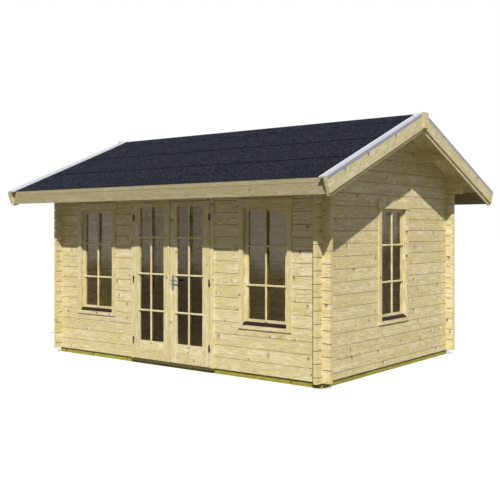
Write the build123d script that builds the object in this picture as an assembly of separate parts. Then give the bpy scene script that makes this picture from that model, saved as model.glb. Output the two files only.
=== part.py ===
from build123d import *
import math
import os

# Garden house of interlocking logs with a felted saddle roof, a glazed double door and three windows.
# Millimetres. +X runs to the right along the front, +Y to the back and +Z up.
# The origin is at ground level in the middle of the house.

# House and logs
house_length = 4200
house_depth = 3000
log_thickness = 45
log_height = 136
log_count = 16
header_logs = 2
log_end = 100
joint_groove = 7
joint_groove_depth = 5
end_kerf = 7
end_kerf_rest = 8
corbel_reach = 220
corbel_radius = 38

# Foundation and floor
beam_height = 60
beam_width = 60
beam_inset = 12
joist_width = 45
joist_count = 5
floor_thickness = 19
floor_clearance = 1

# Roof
roof_pitch = 22.3
eave_purlin_rise = 84
purlin_width = 45
purlin_height = 145
middle_purlin_y = 750
deck_thickness = 19
felt_thickness = 4
felt_lap = 3
felt_nose = 6
felt_courses = [1395, 800]
ridge_felt_reach = 250
eave_overhang = 473
fascia_thickness = 19
fascia_height = 170
fascia_upper_board = 56
fascia_groove = 5
fascia_groove_depth = 4
gable_overhang = 405
bargeboard_thickness = 18
bargeboard_height = 148
bargeboard_run = 2200
verge_board_thickness = 20
verge_board_height = 168
verge_board_gap = 4
verge_board_drop = 19
batten_width = 95
batten_thickness = 14
batten_overrun = 50
flashing_thickness = 1.5
flashing_drop = 17
peak_block_thickness = 20
peak_block_head = 134
peak_block_foot = 73
peak_block_height = 178
peak_block_drop = 5

# Double door
door_x = -30
jamb_width = 50
jamb_proud = 20
jamb_inside = 20
stop_width = 15
leaf_width = 612
leaf_thickness = 40
leaf_proud = 27
leaf_top = 1965
door_gap = 5
meeting_gap = 6
meeting_bevel = 4
sill_gap = 6
stile_width = 105
top_rail = 58
bottom_rail = 224
rail_joint = 5
door_head_height = 55
threshold_height = 24
drip_height = 22
drip_top_gap = 8
drip_reach = 44
glass_thickness = 6
rebate = 10
rebate_clearance = 1
door_glass_depth = 17
cover_strip_width = 32
cover_strip_thickness = 12

# Hinges and handle
hinge_heights = [285, 1030, 1780]
hinge_radius = 8
hinge_length = 76
hinge_offset = 9
hinge_pin_radius = 3.5
hinge_fit = 0.08
hinge_split = 0.5
hinge_margin = 4
hinge_sides = 16
handle_from_centre = 50
handle_plate_width = 30
handle_plate_height = 176
handle_plate_thickness = 8
handle_z = 1011
lever_rise = 25
lever_length = 110
lever_height = 18
lever_thickness = 11
lever_reach = 38
spindle_radius = 7
spindle_clearance = 1

# Windows
front_window_share = 0.6471
side_window_y = 20
window_width = 594
window_bottom = 590
window_top = 1880
casing_width = 62
casing_proud = 15
casing_bottom_height = 45
head_casing_height = 92
head_casing_extra = 22
head_casing_proud = 21
lining_thickness = 20
lining_inside = 20
lining_flange = 20
sash_depth = 30
sash_thickness = 35
sash_stile = 47
sash_bottom_rail = 65
sash_top_rail = 40
sash_gap = 2
sash_glass_depth = 15
sill_front = 18
sill_nose = 8
sill_rise = 35

# Sizes worked out from these
half_length = house_length / 2
half_depth = house_depth / 2
wall_base = beam_height
wall_top = wall_base + log_count * log_height
header_base = wall_top - header_logs * log_height
slope = math.radians(roof_pitch)
front_window_x = front_window_share * half_length
eave_z = wall_top + eave_purlin_rise
verge_x = half_length + gable_overhang
board_x = verge_x - bargeboard_thickness
inner_board_x = board_x - verge_board_thickness
fascia_y = half_depth + eave_overhang
deck_y = fascia_y - fascia_thickness
leaf_front = -half_depth - leaf_proud
leaf_back = leaf_front + leaf_thickness
jamb_front = -half_depth - jamb_proud
jamb_back = -half_depth + log_thickness + jamb_inside
leaf_inner_x = meeting_gap / 2
leaf_outer_x = leaf_inner_x + leaf_width
jamb_x = leaf_outer_x + door_gap
frame_x = jamb_x + jamb_width
leaf_bottom = beam_height + sill_gap
head_bottom = leaf_top + door_gap
head_top = head_bottom + door_head_height
pin_x = leaf_outer_x + door_gap / 2
pin_y = leaf_front - hinge_offset


def roof_z(y, lift=0):
    """Height of the underside of the roof boards at y, raised square to the slope by lift."""
    return eave_z + (half_depth - abs(y)) * math.tan(slope) + lift / math.cos(slope)


def block(x, y, z):
    """Box between two values on each axis, given in either order."""
    lengths = [abs(pair[1] - pair[0]) for pair in (x, y, z)]
    middles = [(pair[0] + pair[1]) / 2 for pair in (x, y, z)]
    return Pos(*middles) * Box(*lengths)


def prism_x(points, x_from, x_to):
    """Section given as (y, z) points, run along X."""
    outline = [(x_from, y, z) for y, z in points]
    return extrude(make_face(Polyline(*outline, close=True)), amount=x_to - x_from, dir=(1, 0, 0))


def prism_z(points, z_from, z_to):
    """Section given as (x, y) points, run upwards."""
    outline = [(x, y, z_from) for x, y in points]
    return extrude(make_face(Polyline(*outline, close=True)), amount=z_to - z_from, dir=(0, 0, 1))


def slope_point(run, lift, side):
    """Point at a run down the slope from the ridge and a lift square to the roof boards' underside."""
    y = run * math.cos(slope) + lift * math.sin(slope)
    z = roof_z(0) - run * math.sin(slope) + lift * math.cos(slope)
    return (side * y, z)


# Log walls


def log_section(face, bottom, top, joints):
    """Closed (y, z) outline of stacked logs, with a groove on both faces at each joint."""
    inside = face + log_thickness
    rows = [] if bottom in joints else [(bottom, 0)]
    for joint in joints:
        rows += [(joint - joint_groove / 2, 0), (joint, joint_groove_depth), (joint + joint_groove / 2, 0)]
    if top not in joints:
        rows.append((top, 0))
    rows = [row for row in rows if bottom <= row[0] <= top]
    outer = [(face + depth, height) for height, depth in rows]
    inner = [(inside - depth, height) for height, depth in rows]
    return outer + inner[::-1]


def end_kerfs(face, end_x, joints):
    """Slots that part the log ends from each other, almost up to the crossing wall."""
    inner_x = end_x - math.copysign(log_end - end_kerf_rest, end_x)
    return [
        block((inner_x, end_x), (face, face + log_thickness), (joint - end_kerf / 2, joint + end_kerf / 2))
        for joint in joints
    ]


def corner_notches(face, near_x, side_x, heights):
    """Cuts that let the crossing wall's logs through the corner, a quarter of a log above and below."""
    return [
        block((near_x, side_x), (face, face + log_thickness), band)
        for band in heights
    ]


front_joints = [wall_base + index * log_height for index in range(1, log_count)]
side_joints = [
    wall_base + (index + 0.5) * log_height
    for index in range(math.ceil((roof_z(0) - wall_base) / log_height))
    if wall_base + (index + 0.5) * log_height < roof_z(0) - log_height / 4
]
front_gaps = [
    (
        max(wall_base, wall_base + (index - 0.25) * log_height),
        min(wall_top, wall_base + (index + 0.25) * log_height),
    )
    for index in range(log_count + 1)
]
side_gaps = [
    (wall_base + (index + 0.25) * log_height, wall_base + (index + 0.75) * log_height)
    for index in range(log_count)
]
front_face = -half_depth
log_reach_x = half_length + log_end
log_reach_y = half_depth + log_end
window_hole_x = window_width / 2 + lining_thickness
window_hole = (window_bottom - lining_thickness, window_top + lining_thickness)


def long_wall(x_from, x_to, bottom, top):
    """Stretch of the front wall, notched and slotted where it reaches a corner."""
    joints = [joint for joint in front_joints if bottom <= joint <= top]
    wall = prism_x(log_section(front_face, bottom, top, joints), x_from, x_to)
    cuts = []
    for side in (-1, 1):
        end_x = side * log_reach_x
        if x_from <= end_x <= x_to:
            gaps = [(max(low, bottom), min(high, top)) for low, high in front_gaps if high > bottom and low < top]
            near_x = side * (half_length - log_thickness)
            cuts += corner_notches(front_face, near_x, side * half_length, gaps)
            cuts += end_kerfs(front_face, end_x, joints)
    return wall - cuts if cuts else wall


def front_wall(side):
    """Logs beside the double door, with a window hole."""
    inner_x = door_x + side * frame_x
    outer_x = side * log_reach_x
    wall = long_wall(min(inner_x, outer_x), max(inner_x, outer_x), wall_base, header_base)
    hole_x = side * front_window_x
    hole = block(
        (hole_x - window_hole_x, hole_x + window_hole_x),
        (front_face, front_face + log_thickness),
        window_hole,
    )
    return wall - hole


def top_log():
    """Top log of the front wall: its ends run on as rounded brackets under the roof's overhang."""
    reach = half_length + corbel_reach
    bottom = wall_top - log_height
    log = prism_x(log_section(front_face, bottom, wall_top, [bottom]), -reach, reach)
    outline = block((-reach, reach), (front_face, front_face + log_thickness), (bottom, wall_top))
    lower_ends = outline.edges().filter_by(Axis.Y).group_by(Axis.Z)[0]
    log = log & fillet(lower_ends, corbel_radius)
    gaps = [(low, high) for low, high in ((max(low, bottom), high) for low, high in front_gaps) if high > low]
    cuts = []
    for side in (-1, 1):
        cuts += corner_notches(front_face, side * (half_length - log_thickness), side * half_length, gaps)
    return log - cuts


def header():
    """Log over the doorway, notched for the head of the door frame."""
    log = long_wall(-log_reach_x, log_reach_x, header_base, wall_top - log_height)
    notch = block(
        (door_x - frame_x, door_x + frame_x),
        (front_face, front_face + log_thickness),
        (header_base, head_top),
    )
    return log - notch


def back_wall():
    """Logs from corner to corner below the bracketed top log."""
    return Rot(0, 0, 180) * long_wall(-log_reach_x, log_reach_x, wall_base, wall_top - log_height)


def gable_wall(windowed):
    """Side wall up to the roof boards, drawn with its outer face at -Y before it is turned into place."""
    face = -half_length
    inside = face + log_thickness
    wall = prism_x(log_section(face, wall_base, roof_z(0) + log_height, side_joints), -log_reach_y, log_reach_y)
    outline = [
        (-log_reach_y, face, wall_base),
        (log_reach_y, face, wall_base),
        (log_reach_y, face, roof_z(log_reach_y)),
        (0, face, roof_z(0)),
        (-log_reach_y, face, roof_z(log_reach_y)),
    ]
    under_roof = extrude(make_face(Polyline(*outline, close=True)), amount=log_thickness, dir=(0, 1, 0))
    end_top = wall_base + (log_count + 0.5) * log_height
    roof_top = roof_z(0)
    end_joints = [joint for joint in side_joints if joint < wall_top]
    cuts = []
    for side in (-1, 1):
        near = side * (half_depth - log_thickness)
        corner = side * half_depth
        end = side * log_reach_y
        cuts += corner_notches(face, near, corner, side_gaps)
        cuts += end_kerfs(face, end, end_joints)
        cuts.append(block((near, corner), (face, inside), (wall_top, roof_top)))
        cuts.append(block((corner, end), (face, inside), (end_top, roof_top)))
    if windowed:
        hole = (side_window_y - window_hole_x, side_window_y + window_hole_x)
        cuts.append(block(hole, (face, inside), window_hole))
    return (wall & under_roof) - cuts


# Foundation and floor

foundation_x = half_length - beam_inset
foundation_y = half_depth - beam_inset


def foundation_beams():
    """Two long beams under the front and back walls with two short ones between them."""
    inner_y = foundation_y - beam_width
    inner_x = foundation_x - beam_width
    beams = [
        block((-foundation_x, foundation_x), (side * foundation_y, side * inner_y), (0, beam_height))
        for side in (-1, 1)
    ]
    beams += [
        block((side * foundation_x, side * inner_x), (-inner_y, inner_y), (0, beam_height))
        for side in (-1, 1)
    ]
    ring = beams[0]
    for beam in beams[1:]:
        ring += beam
    return ring


def floor_joists():
    """Joists between the long beams, at an even spacing."""
    inner_x = foundation_x - beam_width
    inner_y = foundation_y - beam_width
    pitch = 2 * inner_x / (joist_count + 1)
    return [
        block(
            (-inner_x + index * pitch - joist_width / 2, -inner_x + index * pitch + joist_width / 2),
            (-inner_y, inner_y),
            (0, beam_height),
        )
        for index in range(1, joist_count + 1)
    ]


def floor_boards():
    """Floor inside the walls, cut back round the door frame."""
    edge_x = half_length - log_thickness - floor_clearance
    edge_y = half_depth - log_thickness - floor_clearance
    floor = block((-edge_x, edge_x), (-edge_y, edge_y), (beam_height, beam_height + floor_thickness))
    cut_x = frame_x + floor_clearance
    doorway = block(
        (door_x - cut_x, door_x + cut_x),
        (-half_depth, jamb_back + floor_clearance),
        (beam_height, beam_height + floor_thickness),
    )
    return floor - doorway


# Roof


def purlin(y):
    """Purlin with its top planed to the roof's slope."""
    low_y = y - purlin_width / 2
    high_y = y + purlin_width / 2
    bottom = roof_z(y) - purlin_height
    top = [(high_y, roof_z(high_y)), (low_y, roof_z(low_y))]
    if low_y < 0 < high_y:
        top.insert(1, (0, roof_z(0)))
    return prism_x([(low_y, bottom), (high_y, bottom)] + top, -inner_board_x, inner_board_x)


def eave_purlin(side):
    """Beam on the top log that carries the lower part of the roof boards."""
    outer = side * half_depth
    inner = side * (half_depth - log_thickness)
    section = [(outer, wall_top), (inner, wall_top), (inner, roof_z(inner)), (outer, roof_z(outer))]
    return prism_x(section, -inner_board_x, inner_board_x)


def roof_deck(side):
    """Roof boards of one slope, from the ridge to the fascia."""
    edge = side * deck_y
    section = [
        (0, roof_z(0)),
        (edge, roof_z(edge)),
        (edge, roof_z(edge, deck_thickness)),
        (0, roof_z(0, deck_thickness)),
    ]
    return prism_x(section, -board_x, board_x)


def roof_felt(side):
    """Felt of one slope: each strip laps over the one below it."""
    end = side * (fascia_y + felt_nose)
    top = deck_thickness + felt_thickness
    section = [(0, roof_z(0, deck_thickness)), (end, roof_z(end, deck_thickness)), (end, roof_z(end, top))]
    for course in felt_courses:
        edge = side * course
        section.append((edge, roof_z(edge, top - felt_lap)))
        section.append((edge, roof_z(edge, top)))
    section.append((0, roof_z(0, top)))
    return prism_x(section, -verge_x, verge_x)


def ridge_felt():
    """Cap strip over the ridge, between the verge battens."""
    low = deck_thickness + felt_thickness
    high = low + felt_thickness
    reach = ridge_felt_reach
    section = [
        (-reach, roof_z(reach, low)),
        (0, roof_z(0, low)),
        (reach, roof_z(reach, low)),
        (reach, roof_z(reach, high)),
        (0, roof_z(0, high)),
        (-reach, roof_z(reach, high)),
    ]
    edge = verge_x - batten_width - flashing_thickness
    return prism_x(section, -edge, edge)


def fascia(side):
    """Two flush boards along the eave, their joint shown as a groove."""
    outer = side * fascia_y
    inner = side * deck_y
    top = roof_z(outer, deck_thickness)
    joint = top - fascia_upper_board
    section = [
        (outer, top - fascia_height),
        (outer, joint - fascia_groove / 2),
        (outer - side * fascia_groove_depth, joint),
        (outer, joint + fascia_groove / 2),
        (outer, top),
        (inner, roof_z(inner, deck_thickness)),
        (inner, top - fascia_height),
    ]
    return prism_x(section, -inner_board_x, inner_board_x)


def bargeboard(end, side):
    """Board on one half of a gable, its lower end cut square to the slope."""
    top = deck_thickness
    bottom = top - bargeboard_height
    section = [
        (0, roof_z(0, top)),
        slope_point(bargeboard_run, top, side),
        slope_point(bargeboard_run, bottom, side),
        (0, roof_z(0, bottom)),
    ]
    return prism_x(section, *sorted((end * board_x, end * verge_x)))


def verge_board(end, side):
    """Inner board behind a bargeboard and as long, rising past the roof boards' end, its tip cut level."""
    edge = side * deck_y
    start = side * verge_board_gap / 2
    section = [
        (start, roof_z(start)),
        (edge, roof_z(edge)),
        (edge, roof_z(edge, deck_thickness)),
        slope_point(bargeboard_run, deck_thickness, side),
        slope_point(bargeboard_run, -verge_board_height, side),
        (start, roof_z(start, -verge_board_height)),
    ]
    board = prism_x(section, *sorted((end * inner_board_x, end * board_x)))
    tip_z = roof_z(fascia_y, deck_thickness) - fascia_height - verge_board_drop
    above = block((end * inner_board_x, end * board_x), (0, side * bargeboard_run), (tip_z, roof_z(0)))
    return board & above


batten_run = (fascia_y + batten_overrun) / math.cos(slope)


def verge_batten(end, side):
    """Wooden batten on the felt along one verge."""
    low = deck_thickness + felt_thickness
    high = low + batten_thickness
    section = [
        (0, roof_z(0, low)),
        slope_point(batten_run, low, side),
        slope_point(batten_run, high, side),
        (0, roof_z(0, high)),
    ]
    return prism_x(section, *sorted((end * (verge_x - batten_width), end * verge_x)))


def verge_flashing(end, side):
    """Folded sheet over a verge batten, from the felt over its top and down over the bargeboard."""
    felt_top = deck_thickness + felt_thickness
    low = felt_top + batten_thickness
    high = low + flashing_thickness
    hem = felt_top - flashing_drop
    cover = [
        (0, roof_z(0, low)),
        slope_point(batten_run, low, side),
        slope_point(batten_run, high, side),
        (0, roof_z(0, high)),
    ]
    face = [
        (0, roof_z(0, hem)),
        slope_point(batten_run, hem, side),
        slope_point(batten_run, high, side),
        (0, roof_z(0, high)),
    ]
    back = [
        (0, roof_z(0, felt_top)),
        slope_point(batten_run, felt_top, side),
        slope_point(batten_run, high, side),
        (0, roof_z(0, high)),
    ]
    outer_x = verge_x + flashing_thickness
    batten_x = verge_x - batten_width
    inner_x = batten_x - flashing_thickness
    sheet = prism_x(cover, *sorted((end * inner_x, end * outer_x)))
    sheet += prism_x(face, *sorted((end * verge_x, end * outer_x)))
    return sheet + prism_x(back, *sorted((end * inner_x, end * batten_x)))


def peak_block(end):
    """Tapered plate nailed over the joint of the bargeboards at the top of a gable."""
    top = roof_z(0, deck_thickness + felt_thickness + batten_thickness + flashing_thickness) - peak_block_drop
    foot = top - peak_block_height
    section = [
        (-peak_block_foot / 2, foot),
        (peak_block_foot / 2, foot),
        (peak_block_head / 2, top),
        (-peak_block_head / 2, top),
    ]
    outer_x = verge_x + flashing_thickness + peak_block_thickness
    return prism_x(section, *sorted((end * verge_x, end * outer_x)))


# Double door. Each leaf is drawn from the middle of the doorway, with side -1 for left and 1 for right.


def at(side, distance):
    """X at a distance from the middle of the doorway."""
    return door_x + side * distance


stop_front = leaf_back + door_gap
stop_x = jamb_x - stop_width
stop_z = head_bottom - stop_width


def door_jamb(side):
    """Post with a stop behind the leaf."""
    section = [
        (at(side, frame_x), jamb_front),
        (at(side, jamb_x), jamb_front),
        (at(side, jamb_x), stop_front),
        (at(side, stop_x), stop_front),
        (at(side, stop_x), jamb_back),
        (at(side, frame_x), jamb_back),
    ]
    return prism_z(section, beam_height, stop_z) + block(
        (at(side, frame_x), at(side, jamb_x)), (jamb_front, jamb_back), (stop_z, head_bottom)
    )


def door_head():
    """Top of the frame with the same stop behind the leaves."""
    bar = block((at(-1, frame_x), at(1, frame_x)), (jamb_front, jamb_back), (head_bottom, head_top))
    stop = block((at(-1, jamb_x), at(1, jamb_x)), (stop_front, jamb_back), (stop_z, head_bottom))
    return bar + stop


def door_threshold():
    """Inner sill between the jambs, and the drip strip on the face of the foundation beam."""
    inner = block(
        (at(-1, stop_x), at(1, stop_x)), (stop_front, jamb_back), (beam_height, beam_height + threshold_height)
    )
    drip_top = leaf_bottom - drip_top_gap
    drip = block(
        (at(-1, frame_x), at(1, frame_x)),
        (-foundation_y - drip_reach, -foundation_y),
        (drip_top - drip_height, drip_top),
    )
    return [inner, drip]


glass_x = (leaf_inner_x + stile_width, leaf_outer_x - stile_width)
glass_z = (leaf_bottom + bottom_rail, leaf_top - top_rail)
rail_joint_z = leaf_bottom + bottom_rail / 2


def door_leaf(side):
    """Framed leaf: stiles, rails, a rebate for the glass and a bevelled meeting edge."""
    section = [
        (at(side, leaf_inner_x), leaf_front),
        (at(side, leaf_outer_x), leaf_front),
        (at(side, leaf_outer_x), leaf_back),
        (at(side, leaf_inner_x + meeting_bevel), leaf_back),
    ]
    leaf = prism_z(section, leaf_bottom, leaf_top)
    opening = block((at(side, glass_x[0]), at(side, glass_x[1])), (leaf_front, leaf_back), glass_z)
    shoulder = leaf_front + door_glass_depth
    seat = block(
        (at(side, glass_x[0] - rebate), at(side, glass_x[1] + rebate)),
        (shoulder, leaf_back),
        (glass_z[0] - rebate, glass_z[1] + rebate),
    )
    groove = [
        (leaf_front, rail_joint_z - rail_joint / 2),
        (leaf_front + rail_joint / 2, rail_joint_z),
        (leaf_front, rail_joint_z + rail_joint / 2),
    ]
    line = prism_x(groove, *sorted((at(side, glass_x[0]), at(side, glass_x[1]))))
    cuts = [opening, seat, line]
    if side == 1:
        bore = Pos(at(1, handle_from_centre), (leaf_front + leaf_back) / 2, handle_z + lever_rise)
        cuts.append(bore * Rot(90, 0, 0) * Cylinder(spindle_radius + spindle_clearance, leaf_thickness))
    return leaf - cuts


def door_glass(side):
    """Pane seated against the shoulder of the leaf's rebate."""
    shoulder = leaf_front + door_glass_depth
    margin = rebate - rebate_clearance
    return block(
        (at(side, glass_x[0] - margin), at(side, glass_x[1] + margin)),
        (shoulder, shoulder + glass_thickness),
        (glass_z[0] - margin, glass_z[1] + margin),
    )


def door_cover_strip():
    """Strip along the meeting edge of the left leaf."""
    return block(
        (at(-1, leaf_inner_x), at(-1, leaf_inner_x + cover_strip_width)),
        (leaf_front - cover_strip_thickness, leaf_front),
        (leaf_bottom, leaf_top),
    )


def door_handle():
    """Backplates and levers on both faces of the right leaf, on one spindle."""
    x = at(1, handle_from_centre)
    lever_z = handle_z + lever_rise
    lever_front = leaf_front - handle_plate_thickness - lever_reach
    lever_back = leaf_back + handle_plate_thickness + lever_reach
    half_width = handle_plate_width / 2
    half_height = handle_plate_height / 2
    outline = [(x - half_width, x + half_width), (handle_z - half_height, handle_z + half_height)]
    outer = block(outline[0], (leaf_front - handle_plate_thickness, leaf_front), outline[1])
    inner = block(outline[0], (leaf_back, leaf_back + handle_plate_thickness), outline[1])
    middle = Pos(x, (lever_front + lever_back) / 2, lever_z)
    spindle = middle * Rot(90, 0, 0) * Cylinder(spindle_radius, lever_back - lever_front)
    handle = outer + inner + spindle
    for y in (lever_front, lever_back):
        handle += block(
            (x - lever_height / 2, x + lever_length),
            (y - lever_thickness / 2, y + lever_thickness / 2),
            (lever_z - lever_height / 2, lever_z + lever_height / 2),
        )
    return handle


def turned(side, radius, z_from, z_to, around):
    """Round piece on a hinge's axis, with flat sides that touch the radius inside or lie around it."""
    outline = RegularPolygon(radius, hinge_sides, major_radius=not around)
    return Pos(at(side, pin_x), pin_y, z_from) * extrude(outline, amount=z_to - z_from)


def leaf_hinges(side):
    """Upper barrels of the hinges, each on a neck screwed into the leaf."""
    pieces = []
    for height in hinge_heights:
        z = (height + hinge_split / 2, height + hinge_length / 2)
        barrel = turned(side, hinge_radius, z[0], z[1], False)
        bore = turned(side, hinge_pin_radius + hinge_fit, z[0], z[1] - hinge_margin, True)
        neck_x = (at(side, pin_x - door_gap / 2), at(side, pin_x - hinge_radius))
        neck = block(neck_x, (pin_y, leaf_front), (z[0] + hinge_margin, z[1] - hinge_margin))
        pieces.append(barrel + neck - bore)
    return pieces


def frame_hinges():
    """Lower barrels with their pins, each on a neck screwed into a jamb."""
    pieces = []
    for side in (-1, 1):
        for height in hinge_heights:
            z = (height - hinge_length / 2, height - hinge_split / 2)
            barrel = turned(side, hinge_radius, z[0], z[1], False)
            pin_top = height + hinge_length / 2 - 2 * hinge_margin
            pin = turned(side, hinge_pin_radius, z[1], pin_top, False)
            neck_x = (at(side, pin_x + door_gap / 2), at(side, pin_x + hinge_radius))
            neck = block(neck_x, (pin_y, jamb_front), (z[0] + hinge_margin, z[1] - hinge_margin))
            pieces.append(barrel + pin + neck)
    return pieces


# Windows. Each is drawn at x = 0 in a wall whose outer face is at y = face, then put in place.

window_x = window_width / 2


def window_casing(face):
    """Boards round the outside of a window: two sides, a bottom and a longer, thicker head."""
    outer_x = window_x + casing_width
    boards = block(
        (-outer_x, outer_x), (face - casing_proud, face), (window_bottom - casing_bottom_height, window_top)
    )
    inside = block((-window_x, window_x), (face - casing_proud, face), (window_bottom, window_top))
    head_x = outer_x + head_casing_extra
    head = block((-head_x, head_x), (face - head_casing_proud, face), (window_top, window_top + head_casing_height))
    return boards - inside + head


def window_frame(face):
    """Lining of the hole in the logs with a flange on the inside of the wall."""
    inside = face + log_thickness
    back = inside + lining_inside
    lining = block((-window_hole_x, window_hole_x), (face, back), window_hole)
    flange_x = window_hole_x + lining_flange
    flange_z = (window_hole[0] - lining_flange, window_hole[1] + lining_flange)
    flange = block((-flange_x, flange_x), (inside, back), flange_z)
    clear = block((-window_x, window_x), (face, back), (window_bottom, window_top))
    return lining + flange - clear


def sash_sizes():
    """Outer and glass sizes of a sash."""
    outer = (window_x - sash_gap, window_bottom + sash_gap, window_top - sash_gap)
    glass = (window_x - sash_stile, window_bottom + sash_bottom_rail, window_top - sash_top_rail)
    return outer, glass


def window_sash(face):
    """Sash with a rebate for its glass, set back in the frame."""
    outer, glass = sash_sizes()
    front = face + sash_depth
    back = front + sash_thickness
    sash = block((-outer[0], outer[0]), (front, back), (outer[1], outer[2]))
    opening = block((-glass[0], glass[0]), (front, back), (glass[1], glass[2]))
    shoulder = front + sash_glass_depth
    seat = block(
        (-glass[0] - rebate, glass[0] + rebate), (shoulder, back), (glass[1] - rebate, glass[2] + rebate)
    )
    return sash - [opening, seat]


def window_pane(face):
    """Pane seated against the shoulder of the sash's rebate."""
    glass = sash_sizes()[1]
    margin = rebate - rebate_clearance
    shoulder = face + sash_depth + sash_glass_depth
    return block(
        (-glass[0] - margin, glass[0] + margin),
        (shoulder, shoulder + glass_thickness),
        (glass[1] - margin, glass[2] + margin),
    )


def window_sill(face):
    """Sloping weather sill that covers the foot of the sash."""
    section = [
        (face - sill_front, window_bottom),
        (face + sash_depth, window_bottom),
        (face + sash_depth, window_bottom + sill_rise),
        (face - sill_front, window_bottom + sill_nose),
    ]
    return prism_x(section, -window_x + sash_gap, window_x - sash_gap)


windows = {
    "front_left_window": (-half_depth, Pos(-front_window_x, 0, 0)),
    "front_right_window": (-half_depth, Pos(front_window_x, 0, 0)),
    "side_window": (-half_length, Rot(0, 0, 90) * Pos(side_window_y, 0, 0)),
}

# All pieces by name

ridge_purlin = purlin(0)
middle_purlins = [purlin(-middle_purlin_y), purlin(middle_purlin_y)]
through_gables = [ridge_purlin] + middle_purlins
flashings = [verge_flashing(end, side) for end in (-1, 1) for side in (-1, 1)]

parts = {
    "foundation_beams": foundation_beams(),
    "floor_joists": floor_joists(),
    "floor_boards": floor_boards(),
    "front_wall_left": front_wall(-1),
    "front_wall_right": front_wall(1),
    "front_header": header(),
    "back_wall": back_wall(),
    "top_logs": [top_log(), Rot(0, 0, 180) * top_log()],
    "left_wall": Rot(0, 0, -90) * gable_wall(False) - through_gables,
    "right_wall": Rot(0, 0, 90) * gable_wall(True) - through_gables,
    "ridge_purlin": ridge_purlin,
    "middle_purlins": middle_purlins,
    "eave_purlins": [eave_purlin(-1), eave_purlin(1)],
    "roof_deck_front": roof_deck(-1),
    "roof_deck_back": roof_deck(1),
    "roof_felt_front": roof_felt(-1),
    "roof_felt_back": roof_felt(1),
    "ridge_felt": ridge_felt(),
    "fascia_front": fascia(-1),
    "fascia_back": fascia(1),
    "verge_boards": [verge_board(end, side) for end in (-1, 1) for side in (-1, 1)],
    "verge_battens": [verge_batten(end, side) for end in (-1, 1) for side in (-1, 1)],
    "verge_flashings": flashings,
    "peak_blocks": [peak_block(-1) - flashings, peak_block(1) - flashings],
    "door_jambs": [door_jamb(-1), door_jamb(1)],
    "door_head": door_head(),
    "door_threshold": door_threshold(),
    "door_cover_strip": door_cover_strip(),
    "door_handle": door_handle(),
    "door_frame_hinges": frame_hinges(),
    "window_glass": [place * window_pane(face) for face, place in windows.values()],
    "window_sills": [place * window_sill(face) for face, place in windows.values()],
}
for end_name, end in (("left", -1), ("right", 1)):
    for side_name, side in (("front", -1), ("back", 1)):
        parts[f"bargeboard_{end_name}_{side_name}"] = bargeboard(end, side)
    parts[f"door_{end_name}_leaf"] = door_leaf(end)
    parts[f"door_{end_name}_glass"] = door_glass(end)
    parts[f"door_{end_name}_hinges"] = leaf_hinges(end)
for name, (face, place) in windows.items():
    parts[f"{name}_casing"] = place * window_casing(face)
    parts[f"{name}_frame"] = place * window_frame(face)
    parts[f"{name}_sash"] = place * window_sash(face)

os.makedirs("parts", exist_ok=True)
for name, shape in parts.items():
    solid = Compound(children=shape) if isinstance(shape, list) else shape
    export_step(solid, f"parts/{name}.step")
    print(name, round(solid.volume))
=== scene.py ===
# %% [markdown]
# # A garden house of interlocking logs
# The solids of the house come ready made, in metres, with X along the front, Y to the back and Z up.
# This lesson dresses them: it gives every surface a finish made of shader nodes, and it adds the small
# pieces that a joiner would add last, such as the glazing bars and the boards of the floor and the roof.

# %% Load the house
import math

import bpy
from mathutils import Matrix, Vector


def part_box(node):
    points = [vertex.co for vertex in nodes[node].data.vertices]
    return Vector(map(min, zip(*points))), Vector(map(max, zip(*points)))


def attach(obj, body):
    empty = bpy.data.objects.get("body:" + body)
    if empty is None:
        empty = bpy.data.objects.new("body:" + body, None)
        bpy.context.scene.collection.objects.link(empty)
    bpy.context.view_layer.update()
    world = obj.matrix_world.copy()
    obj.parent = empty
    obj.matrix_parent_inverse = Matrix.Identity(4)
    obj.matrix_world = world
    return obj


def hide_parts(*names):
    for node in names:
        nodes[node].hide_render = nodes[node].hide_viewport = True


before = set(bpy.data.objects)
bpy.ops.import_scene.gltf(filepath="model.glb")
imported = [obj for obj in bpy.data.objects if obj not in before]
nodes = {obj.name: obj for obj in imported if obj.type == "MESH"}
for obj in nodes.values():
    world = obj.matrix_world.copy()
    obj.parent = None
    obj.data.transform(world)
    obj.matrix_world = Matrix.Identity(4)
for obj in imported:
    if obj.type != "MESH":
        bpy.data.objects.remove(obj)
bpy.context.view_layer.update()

# %% [markdown]
# ## The camera
# The picture was taken standing, from in front of the right corner. Upright edges stay upright, so the
# camera is level, and a small lens shift puts the horizon where the picture has it.

# %% Camera
camera_data = bpy.data.cameras.new("camera")
camera_data.sensor_width = 36.0
camera_data.lens = 58.24
camera_data.shift_x = -0.0076
camera_data.shift_y = -0.0411
camera_data.clip_end = 500.0
camera = bpy.data.objects.new("camera", camera_data)
camera.location = (6.661, -8.464, 1.639)
camera.rotation_euler = (math.radians(90.0), 0.0, math.radians(38.06))
bpy.context.scene.collection.objects.link(camera)
bpy.context.scene.camera = camera

# %% [markdown]
# ## The light
# The sun stands high in front and to the right: the shadow of the eave falls steeply over the front wall.
# One sun lamp gives that edge. Its strength and the pale sky are set so that a sunlit front wall comes
# out about as bright as its colour is written. A little sky light alone fills the shade.

# %% Sun and sky
SUN_TRAVEL = Vector((-1.0, 1.3, -1.6))
SUN_STRENGTH = 4.4
SUN_WIDTH = math.radians(0.8)
SKY_STRENGTH = 0.17

sun_data = bpy.data.lights.new("sun", "SUN")
sun_data.energy = SUN_STRENGTH
sun_data.angle = SUN_WIDTH
sun_data.color = (1.0, 0.985, 0.95)
sun = bpy.data.objects.new("sun", sun_data)
sun.rotation_euler = SUN_TRAVEL.to_track_quat("-Z", "Y").to_euler()
bpy.context.scene.collection.objects.link(sun)
bpy.context.scene.view_settings.view_transform = "Standard"


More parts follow.
